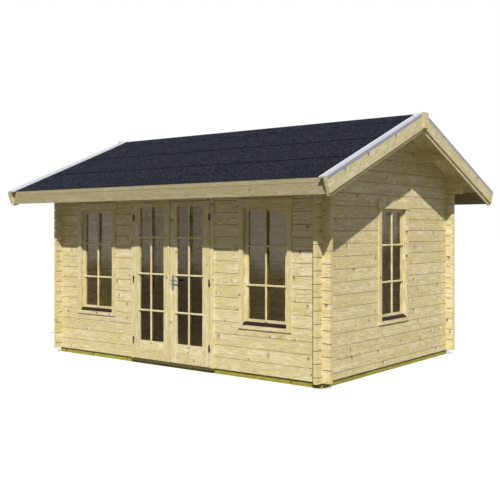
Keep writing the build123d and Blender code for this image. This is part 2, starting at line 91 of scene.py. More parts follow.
def seen_directly(tree):
    """1 where a ray comes from the camera, or from it by way of glass or a mirror, and else 0."""
    path = tree.nodes.new("ShaderNodeLightPath")
    total = path.outputs["Is Camera Ray"]
    for other in ("Is Glossy Ray", "Is Transmission Ray"):
        larger = tree.nodes.new("ShaderNodeMath")
        larger.operation = "MAXIMUM"
        tree.links.new(total, larger.inputs[0])
        tree.links.new(path.outputs[other], larger.inputs[1])
        total = larger.outputs[0]
    return total


world = bpy.data.worlds.new("sky")
world.use_nodes = True
bpy.context.scene.world = world
sky = world.node_tree
sky.nodes.clear()
lighting = sky.nodes.new("ShaderNodeBackground")
lighting.inputs["Color"].default_value = (0.90, 0.95, 1.0, 1.0)
lighting.inputs["Strength"].default_value = SKY_STRENGTH
backdrop = sky.nodes.new("ShaderNodeBackground")
backdrop.inputs["Color"].default_value = (1.0, 1.0, 1.0, 1.0)
choice = sky.nodes.new("ShaderNodeMixShader")
sky_output = sky.nodes.new("ShaderNodeOutputWorld")
sky.links.new(seen_directly(sky), choice.inputs[0])
sky.links.new(lighting.outputs[0], choice.inputs[1])
sky.links.new(backdrop.outputs[0], choice.inputs[2])
sky.links.new(choice.outputs[0], sky_output.inputs["Surface"])
print("sun strength", SUN_STRENGTH, "sky", SKY_STRENGTH)

# %% [markdown]
# ## The ground
# A wide pale floor catches the shadow of the house. Seen directly it is near white, like the backdrop.
# The light that it throws back up is dimmer, because grass, not paper, lies round such a house.

# %% Ground
GROUND_SIZE = 300.0
GROUND_GLOW = 0.62
GROUND_SHOWN = 0.45
GROUND_BOUNCE = 0.22

bpy.ops.mesh.primitive_plane_add(size=GROUND_SIZE, location=(0.0, 0.0, 0.0))
ground = bpy.context.object
ground.name = "ground"
ground_paint = bpy.data.materials.new("pale_ground")
ground_paint.use_nodes = True
ground_tree = ground_paint.node_tree
ground_tree.nodes.clear()


def ground_diffuse(level):
    """Matte shader of a grey level."""
    shader = ground_tree.nodes.new("ShaderNodeBsdfDiffuse")
    shader.inputs["Color"].default_value = (level, level, level * 0.98, 1.0)
    return shader.outputs[0]


glow = ground_tree.nodes.new("ShaderNodeEmission")
glow.inputs["Strength"].default_value = GROUND_GLOW
shown = ground_tree.nodes.new("ShaderNodeAddShader")
ground_tree.links.new(glow.outputs[0], shown.inputs[0])
ground_tree.links.new(ground_diffuse(GROUND_SHOWN), shown.inputs[1])
ground_choice = ground_tree.nodes.new("ShaderNodeMixShader")
ground_tree.links.new(seen_directly(ground_tree), ground_choice.inputs[0])
ground_tree.links.new(ground_diffuse(GROUND_BOUNCE), ground_choice.inputs[1])
ground_tree.links.new(shown.outputs[0], ground_choice.inputs[2])
ground_output = ground_tree.nodes.new("ShaderNodeOutputMaterial")
ground_tree.links.new(ground_choice.outputs[0], ground_output.inputs["Surface"])
ground.data.materials.append(ground_paint)
print("ground:", GROUND_SIZE, "m wide")

# %% [markdown]
# ## Shader maths as plain sums
# A finish is a sum of patterns. Written as nodes by hand, each sum takes many lines. The class below wraps
# a socket, so that `1 - mask` or `rings * 0.3 + tone` adds the Math nodes by itself.

# %% Wires and finishes
class Wire:
    """A number that varies over a surface."""

    def __init__(self, finish, socket):
        self.finish = finish
        self.socket = socket

    def math(self, operation, *others, clamp=False):
        values = dict(enumerate((self,) + others))
        return self.finish.node("ShaderNodeMath", {"operation": operation, "use_clamp": clamp}, values)

    def __add__(self, other):
        return self.math("ADD", other)

    def __radd__(self, other):
        return self.math("ADD", other)

    def __sub__(self, other):
        return self.math("SUBTRACT", other)

    def __rsub__(self, other):
        return self.finish.node("ShaderNodeMath", {"operation": "SUBTRACT"}, {0: other, 1: self})

    def __mul__(self, other):
        return self.math("MULTIPLY", other)

    def __rmul__(self, other):
        return self.math("MULTIPLY", other)

    def __truediv__(self, other):
        return self.math("DIVIDE", other)

    def __abs__(self):
        return self.math("ABSOLUTE")

    def floor(self):
        return self.math("FLOOR")

    def fraction(self):
        return self.math("FRACT")

    def root(self):
        return self.math("SQRT")

    def clamped(self):
        """The value, kept between 0 and 1."""
        return self.math("MULTIPLY", 1.0, clamp=True)

    def above(self, limit):
        """1 where the value is over the limit, else 0."""
        return self.math("GREATER_THAN", limit)

    def rise(self, low, high):
        """0 below low, 1 above high, and smooth between them."""
        values = {"Value": self, "From Min": low, "From Max": high}
        return self.finish.node("ShaderNodeMapRange", {"interpolation_type": "SMOOTHSTEP"}, values)

    def fall(self, low, high):
        """1 below low, 0 above high."""
        return 1.0 - self.rise(low, high)


class Finish:
    """A material with one main shader, and short ways to add nodes to it."""

    def __init__(self, name, **constants):
        self.material = bpy.data.materials.new(name)
        self.material.use_nodes = True
        self.tree = self.material.node_tree
        self.tree.nodes.clear()
        self.shader = self.tree.nodes.new("ShaderNodeBsdfPrincipled")
        output = self.tree.nodes.new("ShaderNodeOutputMaterial")
        self.tree.links.new(self.shader.outputs[0], output.inputs["Surface"])
        for socket, value in constants.items():
            self.shader.inputs[socket.replace("_", " ")].default_value = value

    def node(self, kind, settings=None, values=None, output=0):
        """Adds a node: first its settings, then the values or links of its sockets."""
        made = self.tree.nodes.new(kind)
        for setting, value in (settings or {}).items():
            setattr(made, setting, value)
        for socket, value in (values or {}).items():
            if isinstance(value, Wire):
                self.tree.links.new(value.socket, made.inputs[socket])
            else:
                made.inputs[socket].default_value = value
        return Wire(self, made.outputs[output])

    def place(self):
        """X, Y and Z of a point on the piece, in metres, which move with the piece."""
        point = self.node("ShaderNodeTexCoord", output="Object")
        return [self.node("ShaderNodeSeparateXYZ", None, {0: point}, output=axis) for axis in range(3)]

    def facing(self):
        """The three parts of the surface's direction, on the piece."""
        normal = self.node("ShaderNodeTexCoord", output="Normal")
        return [self.node("ShaderNodeSeparateXYZ", None, {0: normal}, output=axis) for axis in range(3)]

    def join(self, x, y, z):
        return self.node("ShaderNodeCombineXYZ", None, {0: x, 1: y, 2: z})

    def noise(self, vector, scale=1.0, detail=2.0, roughness=0.5):
        """Soft noise between 0 and 1."""
        values = {"Vector": vector, "Scale": scale, "Detail": detail, "Roughness": roughness}
        return self.node("ShaderNodeTexNoise", None, values)

    def chance(self, value):
        """A random number between 0 and 1 that is the same for equal values."""
        return self.node("ShaderNodeTexWhiteNoise", {"noise_dimensions": "1D"}, {"W": value})

    def blend(self, share, first, second):
        """From the first colour to the second one."""
        return self.node("ShaderNodeMix", {"data_type": "RGBA"}, {0: share, 6: first, 7: second}, output=2)

    def pick(self, mask, when_zero, when_one):
        """One number or the other, by a mask."""
        return self.node("ShaderNodeMix", {"data_type": "FLOAT"}, {0: mask, 2: when_zero, 3: when_one})

    def times(self, first, second):
        """Two colours multiplied."""
        settings = {"data_type": "RGBA", "blend_type": "MULTIPLY"}
        return self.node("ShaderNodeMix", settings, {0: 1.0, 6: first, 7: second}, output=2)

    def shade(self, first, amount):
        """The colour times a grey level."""
        return self.times(first, self.join(amount, amount, amount))

    def feed(self, socket, wire):
        """Drives a socket of the main shader."""
        self.tree.links.new(wire.socket, self.shader.inputs[socket])

    def relief(self, height, strength):
        """Bumps of a height in metres."""
        values = {"Strength": strength, "Distance": 1.0, "Height": height}
        self.feed("Normal", self.node("ShaderNodeBump", None, values))


def colour(red, green, blue):
    """A colour from the levels of a picture, 0 to 255, to the linear values that shaders use."""
    levels = [level / 255.0 for level in (red, green, blue)]
    linear = [level / 12.92 if level <= 0.04045 else ((level + 0.055) / 1.055) ** 2.4 for level in levels]
    return linear + [1.0]


# %% [markdown]
# ## Spruce
# All the wood of the house is planed spruce: pale straw, with fine year rings that are cut lengthwise, soft
# grey-brown streaks, and dark knots. Rings drawn as flat stripes would look printed where a board ends. Here
# each board is cut from its own tree: a ring is a distance from a pith line that runs along the board and
# drifts in it, so faces and ends agree and some rings close to pointed arches. A knot is a dark spot round a
# random point. The rings bend round it, and beside it lies a pale patch where the plane tore the wood.

# %% The wood recipe
SPRUCE_LIGHT = colour(241, 229, 190)
SPRUCE_DARK = colour(184, 162, 110)
SPRUCE_GREEN = colour(216, 204, 141)
SPRUCE_PALE = colour(240, 236, 222)
KNOT_DARK = colour(40, 24, 14)
KNOT_SOFT = colour(156, 104, 56)
KNOT_RADIUS = 0.0085
KNOT_VARIES = 0.010
KNOT_WOBBLE = 0.005
YEAR_RING = 0.0075
SEAM_STARTS = 0.0055
SEAM_FULL = 0.002
print("year rings every", YEAR_RING * 1000, "mm, knots from", KNOT_RADIUS * 1000, "mm in radius")


def knots(finish, along, across, number, every, share, board):
    """Shares of a knot, its halo and the pale patch beside it, then the distance from it and its dice."""
    cell = finish.join(along / every + number * 37.3, across / board + 0.5, 0.0)
    spots = {"voronoi_dimensions": "2D", "feature": "F1"}
    centre = finish.node("ShaderNodeTexVoronoi", spots, {"Vector": cell, "Scale": 1.0}, output="Position")
    random = finish.node("ShaderNodeTexVoronoi", spots, {"Vector": cell, "Scale": 1.0}, output="Color")
    away = finish.node("ShaderNodeVectorMath", {"operation": "SUBTRACT"}, {0: cell, 1: centre})
    aside, upward = [finish.node("ShaderNodeSeparateXYZ", None, {0: away}, output=axis) for axis in range(2)]
    aside, upward = aside * every, upward * board
    dice = [finish.node("ShaderNodeSeparateColor", None, {0: random}, output=index) for index in range(3)]
    present = dice[0].fall(share - 0.01, share)
    radius = dice[1] * dice[1] * KNOT_VARIES + KNOT_RADIUS
    wobble = finish.noise(finish.join(along * 90.0, across * 90.0, number)) * KNOT_WOBBLE
    edge = ((aside * aside * 1.7 + upward * upward * 0.7).root() + wobble) / radius
    beside = aside - radius * 2.6
    torn = (beside * beside + upward * upward * 0.5).root() / (radius * 2.4) + wobble * 90.0
    return (edge.fall(0.8, 1.25) * present, edge.fall(1.0, 4.0) * present,
            torn.fall(0.2, 1.4) * present * dice[2].above(0.6), edge, dice)


def spruce(name, grain, knot_every, knot_share, board, tint=None, gloss=0.52, contrast=1.0, ends=None,
           seam_shade_and_dust=0.0):
    """Spruce finish. grain(finish) gives along, across, depth and a number for the board."""
    finish = Finish(name, Specular_IOR_Level=0.3)
    along, across, depth, number = grain(finish)
    luck = finish.chance(number)
    luck_two = finish.chance(number + 0.5)
    knot, halo, torn, edge, dice = knots(finish, along, across, number, knot_every, knot_share, board)
    knot_rings = (edge * 3.0 + luck).fraction()

    drift = finish.noise(finish.join(along * 0.9, number * 9.1, 0.0), detail=1.0) * 0.05
    sinking = finish.noise(finish.join(along * 1.4, number * 5.3, 4.0), detail=1.0) * 0.07
    waver = finish.noise(finish.join(along * 3.0, across * 16.0, depth * 16.0 + number * 5.0)) * 0.012
    pith_across = across + (luck - 0.5) * (board * 0.9) + drift
    pith_depth = depth + (luck_two * 0.04 + 0.004) + sinking
    ring = (pith_across * pith_across + pith_depth * pith_depth).root() + waver + halo * 0.02
    year = (ring / YEAR_RING).fraction()
    late = year.rise(0.35, 0.92) * year.fall(0.93, 1.0)

    broad = finish.noise(finish.join(along * 1.1, across * 22.0, number * 3.3), detail=3.0, roughness=0.6)
    narrow = finish.noise(finish.join(along * 8.0, across * 95.0, number * 1.7), detail=4.0, roughness=0.75)
    patch = finish.noise(finish.join(along * 5.0, across * 12.0, number * 7.7), detail=3.0, roughness=0.6)
    fibre = finish.noise(finish.join(along * 16.0, across * 260.0, depth * 260.0), detail=2.0, roughness=0.7)
    spread = (broad - 0.5) * 0.9 + (narrow - 0.5) * 2.8 + (patch - 0.5) * 1.0 + (fibre - 0.5) * 1.7
    tone = (spread * contrast + late * 0.36 + (luck - 0.5) * 0.2 + 0.35).clamped()
    base = finish.blend(tone, SPRUCE_LIGHT, SPRUCE_DARK)
    base = finish.blend(patch.rise(0.42, 0.66) * 0.55 + luck_two * 0.15, base, SPRUCE_GREEN)
    base = finish.blend(halo * 0.22, base, KNOT_SOFT)
    base = finish.blend(torn * 0.6, base, SPRUCE_PALE)
    heart = finish.blend(knot_rings * 0.25 + dice[2] * 0.35, KNOT_DARK, KNOT_SOFT)
    base = finish.blend(knot * 0.95, base, heart)
    if ends is not None:
        base = finish.blend(ends(finish) * 0.5, base, SPRUCE_GREEN)
    # Painted shade and dust: the colour darkens towards the edges of each board, along its joints.
    if seam_shade_and_dust > 0.0:
        dust_and_shade = finish.noise(finish.join(along * 2.0, number, 7.0)) + 0.5
        joint_shade_mask = abs(across).rise(board / 2 - SEAM_STARTS, board / 2 - SEAM_FULL)
        base = finish.shade(base, 1.0 - joint_shade_mask * dust_and_shade * seam_shade_and_dust)
    if tint is not None:
        base = finish.times(base, tint)
    finish.feed("Base Color", base)
    finish.feed("Roughness", gloss + 0.12 * late - 0.1 * knot + 0.1 * broad)
    finish.relief(late * 0.00012 + fibre * 0.00012 + narrow * 0.0002 - knot * 0.0003, 0.6)
    return finish.material


# %% [markdown]
# ## The logs
# Sixteen courses make the wall. The logs of the side walls lie half a log higher than those of the front,
# because the walls interlock at the corners. Each log gets a number from its height, and with it a tone, a
# pith and knots of its own. The joints are thin and dark: dust and painted shade in the bevels. The
# large round numbers that are added to a board's number only keep the dice of the walls apart.

# %% Logs of the front, back and side walls
BEAM_TOP = 0.060
LOG_HEIGHT = 0.136
LOG_FACE_X = 2.100
LOG_FACE_Y = 1.500


def log_courses(run, offset):
    """Grain of a wall's logs. run is 0 where they lie along X and 1 where they lie along Y."""

    def grain(finish):
        x, y, z = finish.place()
        course = (z - BEAM_TOP) / LOG_HEIGHT + offset
        number = course.floor()
        across = (course - number - 0.5) * LOG_HEIGHT
        along, sideways = (x, y) if run == 0 else (y, x)
        wall = sideways.above(0.0)
        face = LOG_FACE_Y if run == 0 else LOG_FACE_X
        depth = face - abs(sideways)
        return along, across, depth, number + wall * 40.0 + run * 100.0

    return grain


def ends_along(run):
    """1 on the sawn ends of logs that lie along X (0) or Y (1)."""
    return lambda finish: abs(finish.facing()[run]).above(0.9)


log_look = {"knot_every": 0.28, "knot_share": 0.42, "board": LOG_HEIGHT, "seam_shade_and_dust": 0.42}
long_logs = spruce("spruce_logs_lengthways", log_courses(0, 0.0), ends=ends_along(0), **log_look)
side_logs = spruce("spruce_logs_crossways", log_courses(1, 0.5), ends=ends_along(1), **log_look)


def dress(material, *names):
    """Gives a finish to solids of the house."""
    for name in names:
        for index in range(len(nodes[name].data.materials)):
            nodes[name].data.materials[index] = material
    print(material.name, "on", ", ".join(names))


dress(long_logs, "front_wall_left", "front_wall_right", "front_header", "top_logs", "back_wall")
dress(side_logs, "left_wall", "right_wall")

# %% [markdown]
# ## Roof timber and trim
# The purlins and the fascias lie along the house. The bargeboards, the inner boards behind them and the
# battens run down the slope, so their grain is measured along the slope as well. A tint multiplies the whole
# finish: the fascia is much darker in the picture than the walls, and the bargeboards are a little darker.

# %% Timber along the house and down the slope
ROOF_PITCH = math.radians(22.3)
PURLIN_MIDDLE_Z = 2.2
PURLIN_SPACING = 0.35
BARGEBOARD_X = 2.4869
BARGEBOARD_MIDDLE_Z = 2.86
BEHIND_VERGE_X = 2.45
FASCIA_JOINT_Z = 2.0905
FASCIA_MIDDLE_Z = 2.06
FASCIA_BACK_Y = 1.95


def along_house(finish):
    x, y, z = finish.place()
    return x, z - PURLIN_MIDDLE_Z, 0.03 + y * 0.05, (y / PURLIN_SPACING).floor() + 300.0


def down_slope(finish):
    x, y, z = finish.place()
    rise = z + abs(y) * math.tan(ROOF_PITCH)
    across = (rise - BARGEBOARD_MIDDLE_Z) * math.cos(ROOF_PITCH)
    number = x.above(0.0) * 3.0 + y.above(0.0) * 7.0 + abs(x).above(BARGEBOARD_X) * 11.0
    return y / math.cos(ROOF_PITCH), across, abs(x) - BEHIND_VERGE_X, number + 400.0


def along_fascia(finish):
    x, y, z = finish.place()
    number = z.above(FASCIA_JOINT_Z) * 3.0 + y.above(0.0) * 7.0
    return x, z - FASCIA_MIDDLE_Z, abs(y) - FASCIA_BACK_Y, number + 420.0


long_timber = spruce("spruce_purlins", along_house, knot_every=0.5, board=0.16, knot_share=0.45)
slope_timber = spruce("spruce_bargeboards", down_slope, knot_every=0.27, board=0.15, knot_share=0.6,
                      contrast=0.85, tint=[0.93, 0.95, 0.99, 1.0])
fascia_timber = spruce("spruce_fascia", along_fascia, knot_every=0.5, board=0.16, knot_share=0.4,
                       contrast=0.7, tint=[0.525, 0.525, 0.555, 1.0])
dress(long_timber, "ridge_purlin", "middle_purlins", "eave_purlins")
dress(slope_timber, "verge_boards", "verge_battens", "peak_blocks")
for end in ("left", "right"):
    dress(slope_timber, f"bargeboard_{end}_front", f"bargeboard_{end}_back")
dress(fascia_timber, "fascia_front", "fascia_back")

# %% [markdown]
# ## Joinery
# A frame is made of upright and level pieces. In the recipe below, a point that lies between the uprights
# belongs to a rail, with its grain lying level, and any other one to a stile, with its grain upright. The
# threshold is of the same recipe with a dark tint, because it is oiled against wet shoes and rain.

# %% Frames, casings, sashes and leaves
DOOR_X = -0.030
LEAF_OFFSET = 0.309
LEAF_FRONT = -1.527
LEAF_BACK = -1.487
DOOR_PANE_HALF = 0.201
DOOR_PANE_Z = (0.290, 1.907)
RAIL_PITCH = 0.1805
WINDOW_X = 1.359
WINDOW_Z = (0.590, 1.880)
WINDOW_MIDDLE_Z = 1.2
SIDE_WINDOW_Y = 0.020
PANE_HALF = 0.250
PANE_Z = (0.655, 1.840)
BESIDE_X = 2.0
LEFT_WINDOW_ENDS = -0.8
EDGE = 0.0001


def framed(seed, half_width=None):
    """Grain of a frame in the front or the right wall. Its rails lie between stiles that stand half_width
    from its middle, or, where that is left out, over and under the window."""

    def grain(finish):
        x, y, z = finish.place()
        on_side = x.above(BESIDE_X)
        shifted = finish.pick(x.above(LEFT_WINDOW_ENDS), x + WINDOW_X, x - WINDOW_X)
        wide = finish.pick(on_side, shifted, y - SIDE_WINDOW_Y)
        deep = finish.pick(on_side, y + LOG_FACE_Y, LOG_FACE_X - x)
        if half_width is None:
            low, high = WINDOW_Z
            level = (z.above(high) + z.fall(low - EDGE, low)).math("MINIMUM", 1.0)
        else:
            level = abs(wide).fall(half_width - EDGE, half_width)
        piece = finish.pick(level, wide.above(0.0) + 1.0, z.above(WINDOW_MIDDLE_Z) + 4.0)
        number = piece + seed + on_side * 31.0 + x.above(0.0) * 13.0
        return finish.pick(level, z, wide), finish.pick(level, wide, z), deep, number

    return grain


def leaf_grain(finish):
    """Grain of the door leaves: rails between the stiles."""
    x, y, z = finish.place()
    right = x.above(DOOR_X)
    wide = x - finish.pick(right, DOOR_X - LEAF_OFFSET, DOOR_X + LEAF_OFFSET)
    level = abs(wide).fall(DOOR_PANE_HALF - EDGE, DOOR_PANE_HALF + EDGE)
    rail = (z / RAIL_PITCH).floor()
    number = finish.pick(level, wide.above(0.0) + 1.0, rail + 4.0) + right * 19.0 + 600.0
    return finish.pick(level, z, wide), finish.pick(level, wide, z), y - LEAF_FRONT, number


def upright(finish):
    x, y, z = finish.place()
    return z, x, y + 1.52, x.above(DOOR_X) * 3.0 + 640.0


def level_piece(finish):
    x, y, z = finish.place()
    return x, z, y + 1.52, (z / 0.5).floor() + 650.0


casing_wood = spruce("spruce_casings", framed(500.0), knot_every=0.3, board=0.09, knot_share=0.3)
frame_wood = spruce("spruce_window_frames", framed(530.0), knot_every=0.4, board=0.09, knot_share=0.2)
sash_wood = spruce("spruce_sashes", framed(560.0, PANE_HALF), knot_every=0.5, board=0.07, knot_share=0.15)
leaf_wood = spruce("spruce_door_leaves", leaf_grain, knot_every=0.42, board=0.11, knot_share=0.3)
post_wood = spruce("spruce_door_posts", upright, knot_every=0.45, board=0.05, knot_share=0.3)
head_wood = spruce("spruce_door_head", level_piece, knot_every=0.45, board=0.06, knot_share=0.3)
threshold_wood = spruce("oiled_threshold", level_piece, knot_every=0.9, board=0.06, knot_share=0.1,
                  tint=[0.145, 0.135, 0.095, 1.0])
for window in ("front_left_window", "front_right_window", "side_window"):
    dress(casing_wood, window + "_casing")
    dress(frame_wood, window + "_frame")
    dress(sash_wood, window + "_sash")
dress(leaf_wood, "door_left_leaf", "door_right_leaf")
dress(post_wood, "door_jambs", "door_cover_strip")
dress(head_wood, "door_head")
dress(threshold_wood, "door_threshold")

# %% [markdown]
# ## Beams on the ground and the dark sills
# The beams are soaked in a green preservative, which dulls the grain and leaves olive patches. Their upper
# edge is darker, painted shade under the bottom log together with dirt: the seam darkening of the wood
# recipe is moved up there. The sills of the windows are painted dark brown against the rain, and the grain
# shows through the thin paint.

# %% Treated beams and painted sills
SEAM_SHADE_LIFT = 0.013
BEAM_INNER_Y = 1.43


def beam_grain(finish):
    x, y, z = finish.place()
    across_house = abs(y).fall(BEAM_INNER_Y - 0.03, BEAM_INNER_Y)
    number = x.above(0.0) * 3.0 + y.above(0.0) * 5.0 + across_house * 9.0 + 700.0
    return finish.pick(across_house, x, y), z - SEAM_SHADE_LIFT, finish.pick(across_house, y, x), number


# Painted shade and dirt along the upper edge of each beam, through the seam setting.
treated = spruce("treated_spruce", beam_grain, knot_every=0.5, board=0.06, knot_share=0.4,
                 tint=[0.52, 0.52, 0.17, 1.0], gloss=0.7, seam_shade_and_dust=0.65)
dress(treated, "foundation_beams", "floor_joists")

sill = Finish("dark_brown_paint", Specular_IOR_Level=0.16)
x, y, z = sill.place()
brush = sill.noise(sill.join(x * 20.0, y * 20.0, z * 60.0), detail=4.0)
wear = sill.noise(sill.join(x, y, z), scale=45.0, detail=5.0).rise(0.62, 0.78)
paint = sill.blend(brush, colour(30, 17, 17), colour(50, 31, 30))
sill.feed("Base Color", sill.blend(wear * 0.4, paint, colour(86, 66, 54)))
sill.feed("Roughness", 0.5 + brush * 0.2)
sill.relief(brush * 0.0002, 0.6)
dress(sill.material, "window_sills")

# %% [markdown]
# ## Roofing felt
# The felt is bitumen with pressed-in slate granules: nearly black, a little blue, with single grains that
# catch the light, and cloudy patches where granules are thinner. A dark line at each lap is tar together with
# painted shade under the lap's edge.

# %% Felt
FELT_LAPS = (1.395, 0.800)
TAR_AND_SHADE_LINE = (0.004, 0.016)
GRANULES = 420.0
CLUMPS = 85.0

felt = Finish("slate_granule_felt", Specular_IOR_Level=0.05)
x, y, z = felt.place()
point = felt.join(x, y, z)


def cells(per_metre, output):
    """Random cells over the felt: the Color of each, or the Distance from its middle."""
    values = {"Vector": point, "Scale": per_metre}
    return felt.node("ShaderNodeTexVoronoi", {"feature": "F1"}, values, output=output)


grain = felt.node("ShaderNodeSeparateColor", None, {0: cells(GRANULES, "Color")}, output=0)
lumps = cells(GRANULES, "Distance")
clump = felt.node("ShaderNodeSeparateColor", None, {0: cells(CLUMPS, "Color")}, output=0)
cloud = felt.noise(point, scale=3.5, detail=4.0, roughness=0.6)
mottle = felt.noise(point, scale=60.0, detail=3.0, roughness=0.75)
tone = (clump * 1.9 + grain * 0.2 + cloud * 0.3 + mottle * 0.8 - 1.42).clamped()
felt_colour = felt.blend(tone, colour(2, 3, 6), colour(51, 55, 70))
felt_colour = felt.blend(grain.rise(0.93, 0.97) * 0.25, felt_colour, colour(96, 100, 116))
# Painted shade: a dark line under the edge of each lap, together with its tar.
tar_and_shade = 0.0
for lap in FELT_LAPS:
    tar_and_shade = tar_and_shade + abs(abs(y) - lap).fall(*TAR_AND_SHADE_LINE)
felt.feed("Base Color", felt.blend(tar_and_shade * 0.85, felt_colour, colour(6, 7, 10)))
felt.feed("Roughness", 0.82 + grain * 0.16)
felt.relief(lumps * -0.0009 + mottle * 0.0012, 0.7)
dress(felt.material, "roof_felt_front", "roof_felt_back", "ridge_felt")

# %% [markdown]
# ## Metal
# The verges are covered with folded grey sheet. In the picture its fold along the felt is brighter, and its
# outer rim darker than the rest. Here both are painted: a painted highlight along the fold and painted shade
# on the rim, where the fold turns from the sun, so the colour follows the distance from the middle of the
# house.
# The handle is brushed, with fine lines along its length. The hinges have a dark coat, rubbed brighter on
# raised spots.

# %% Flashing, handle and hinges
INNER_FOLD_HIGHLIGHT_X = (2.417, 2.421)
OUTER_RIM_SHADE_X = (2.484, 2.494)

sheet = Finish("grey_coated_sheet")
x, y, z = sheet.place()
point = sheet.join(x, y, z)
dust = sheet.noise(point, scale=9.0, detail=4.0)
scuff = sheet.noise(sheet.join(x * 60.0, y * 4.0, z * 4.0), detail=3.0)
sheet_colour = sheet.blend(dust, colour(164, 168, 181), colour(182, 186, 197))
sheet_colour = sheet.blend(scuff.rise(0.55, 0.8) * 0.3, sheet_colour, colour(140, 143, 152))
# Painted highlight: the fold along the felt is made brighter.
sheet_colour = sheet.blend(abs(x).fall(*INNER_FOLD_HIGHLIGHT_X), sheet_colour, colour(236, 238, 246))
# Painted shade: the outer rim is made darker.
sheet.feed("Base Color", sheet.shade(sheet_colour, 1.0 - abs(x).rise(*OUTER_RIM_SHADE_X) * 0.3))
sheet.feed("Roughness", 0.32 + dust * 0.16)
sheet.relief(dust * 0.0006, 0.3)
dress(sheet.material, "verge_flashings")

brushed = Finish("brushed_steel", Metallic=1.0)
x, y, z = brushed.place()
lines = brushed.noise(brushed.join(x * 2500.0, y * 2500.0, z * 30.0), detail=2.0)
smudge = brushed.noise(brushed.join(x, y, z), scale=60.0, detail=3.0)
brushed.feed("Base Color", brushed.blend(smudge, colour(118, 117, 126), colour(146, 145, 152)))
brushed.feed("Roughness", 0.42 + lines * 0.16 + smudge * 0.06)
brushed.relief(lines * 0.00003, 0.5)

coated = Finish("dark_hinge_coat", Metallic=0.7)
x, y, z = coated.place()
speck = coated.noise(coated.join(x, y, z), scale=900.0, detail=2.0)
rub = coated.noise(coated.join(x, y, z), scale=120.0, detail=3.0).rise(0.55, 0.75)
coat_colour = coated.blend(speck, colour(44, 43, 44), colour(62, 60, 60))
coated.feed("Base Color", coated.blend(rub * 0.35, coat_colour, colour(118, 114, 108)))
coated.feed("Roughness", 0.38 + speck * 0.2)
coated.relief(speck * 0.00006, 0.5)
print("made", brushed.material.name, "and", coated.material.name)

# %% [markdown]
# ## Glass
# Clear window glass looks dark by day, because the room behind it is dark. In the picture each pane is dark
# below, where it mirrors a garden, and pale above, where it mirrors the sky. No garden stands here, so both
# reflections are painted into the finish: a brown-green tint below, and a clearer one with a shiny coat
# above, with soft speckles in both as painted reflection. The change lies at another height in the doors, the
# front windows and the gable, and each kind of pane gets its own painted brightness below. The refractive
# index is lower than that of real glass, so that the panes mirror less of the white backdrop.

# %% Window glass
IN_WINDOW_X = 1.0
SKY_REFLECTION_STARTS = 1.15
SKY_REFLECTION_FULL = 1.5

glass = Finish("window_glass", Transmission_Weight=1.0, IOR=1.12)
x, y, z = glass.place()
haze = glass.noise(glass.join(x, y, z), scale=5.0, detail=3.0)
reflection_speckle = glass.noise(glass.join(x, y, z), scale=40.0, detail=3.0, roughness=0.7)
in_window = abs(x).above(IN_WINDOW_X)
in_gable = x.above(BESIDE_X)
# Painted reflection: the share of the pale sky tint rises with height.
sky_reflection_share = (z + haze * 0.4 - in_window * 0.12 - in_gable * 0.24).rise(SKY_REFLECTION_STARTS, SKY_REFLECTION_FULL)
garden_reflection_tint = glass.blend(reflection_speckle, colour(184, 176, 144), colour(214, 206, 172))
sky_reflection_tint = glass.blend(reflection_speckle, colour(234, 226, 192), colour(250, 243, 212))
# Painted reflection: each kind of pane gets its own brightness in its lower part.
pane_reflection_level = 1.0 + (in_window * 0.6 - in_gable * 0.6) * (1.0 - sky_reflection_share)
glass.feed("Base Color", glass.shade(glass.blend(sky_reflection_share, garden_reflection_tint, sky_reflection_tint), pane_reflection_level))
glass.feed("Roughness", haze * 0.03)
shine = sky_reflection_share * (0.63 + in_window * 0.22) + 0.13
glass.feed("Coat Weight", shine * (1.0 - in_gable * (1.0 - sky_reflection_share * 0.55)))
dress(glass.material, "window_glass", "door_left_glass", "door_right_glass")

# %% [markdown]
# ## Meshes from sections
# Most small pieces of joinery are a moulded section that runs along a line. One helper builds them: it takes
# rings of points with the same number of points each, joins them with faces and closes both ends.

# %% Helpers for new pieces
def link_mesh(name, points, faces, material):
    """A new object from points and faces."""
    mesh = bpy.data.meshes.new(name)
    mesh.from_pydata(points, [], faces)
    mesh.materials.append(material)
    mesh.update()
    piece = bpy.data.objects.new(name, mesh)
    bpy.context.scene.collection.objects.link(piece)
    return piece


def run_section(rings):
    """Points and faces of a closed skin over rings of points, capped at both ends."""
    count = len(rings[0])
    points = [point for ring in rings for point in ring]
    faces = [tuple(range(count))[::-1]]
    for start in range(0, len(points) - count, count):
        for index in range(count):
            after = (index + 1) % count
            faces.append((start + index, start + after, start + count + after, start + count + index))
    faces.append(tuple(range(len(points) - count, len(points))))
    return points, faces


def gather(shapes):
    """Several skins as one list of points and one of faces."""
    points, faces = [], []
    for more_points, more_faces in shapes:
        faces += [tuple(len(points) + index for index in face) for face in more_faces]
        points += more_points
    return points, faces


# %% [markdown]
# ## Glazing bars
# The panes are whole: the small squares come from two lattices of thin bars. The outer one has ends that lie
# on the wood round the glass, and the inner one fits in the rebate. Each bar has a flat nose between bevels.

# %% Glazing bars
BAR_WIDTH = 0.023
BAR_DEPTH = 0.016
BAR_BEVEL = 0.005
BAR_SHOULDER = 0.35
OUTER_LAP = 0.018
INNER_LAP = 0.006
LEVEL_BAR_STEP = 0.0008


def bar_section(front, back):
    """Section of a bar as (sideways, depth) pairs, from the back to the nose, turned over for the inside."""
    half = math.copysign(BAR_WIDTH / 2, back - front)
    nose = half - math.copysign(BAR_BEVEL, back - front)
    shoulder = front + (back - front) * BAR_SHOULDER
    return [(-half, back), (-half, shoulder), (-nose, front), (nose, front), (half, shoulder), (half, back)]


def upright_bar(centre, low, high, front, back):
    section = bar_section(front, back)
    return run_section([[(centre + side, depth, height) for side, depth in section]
                        for height in (low, high)])


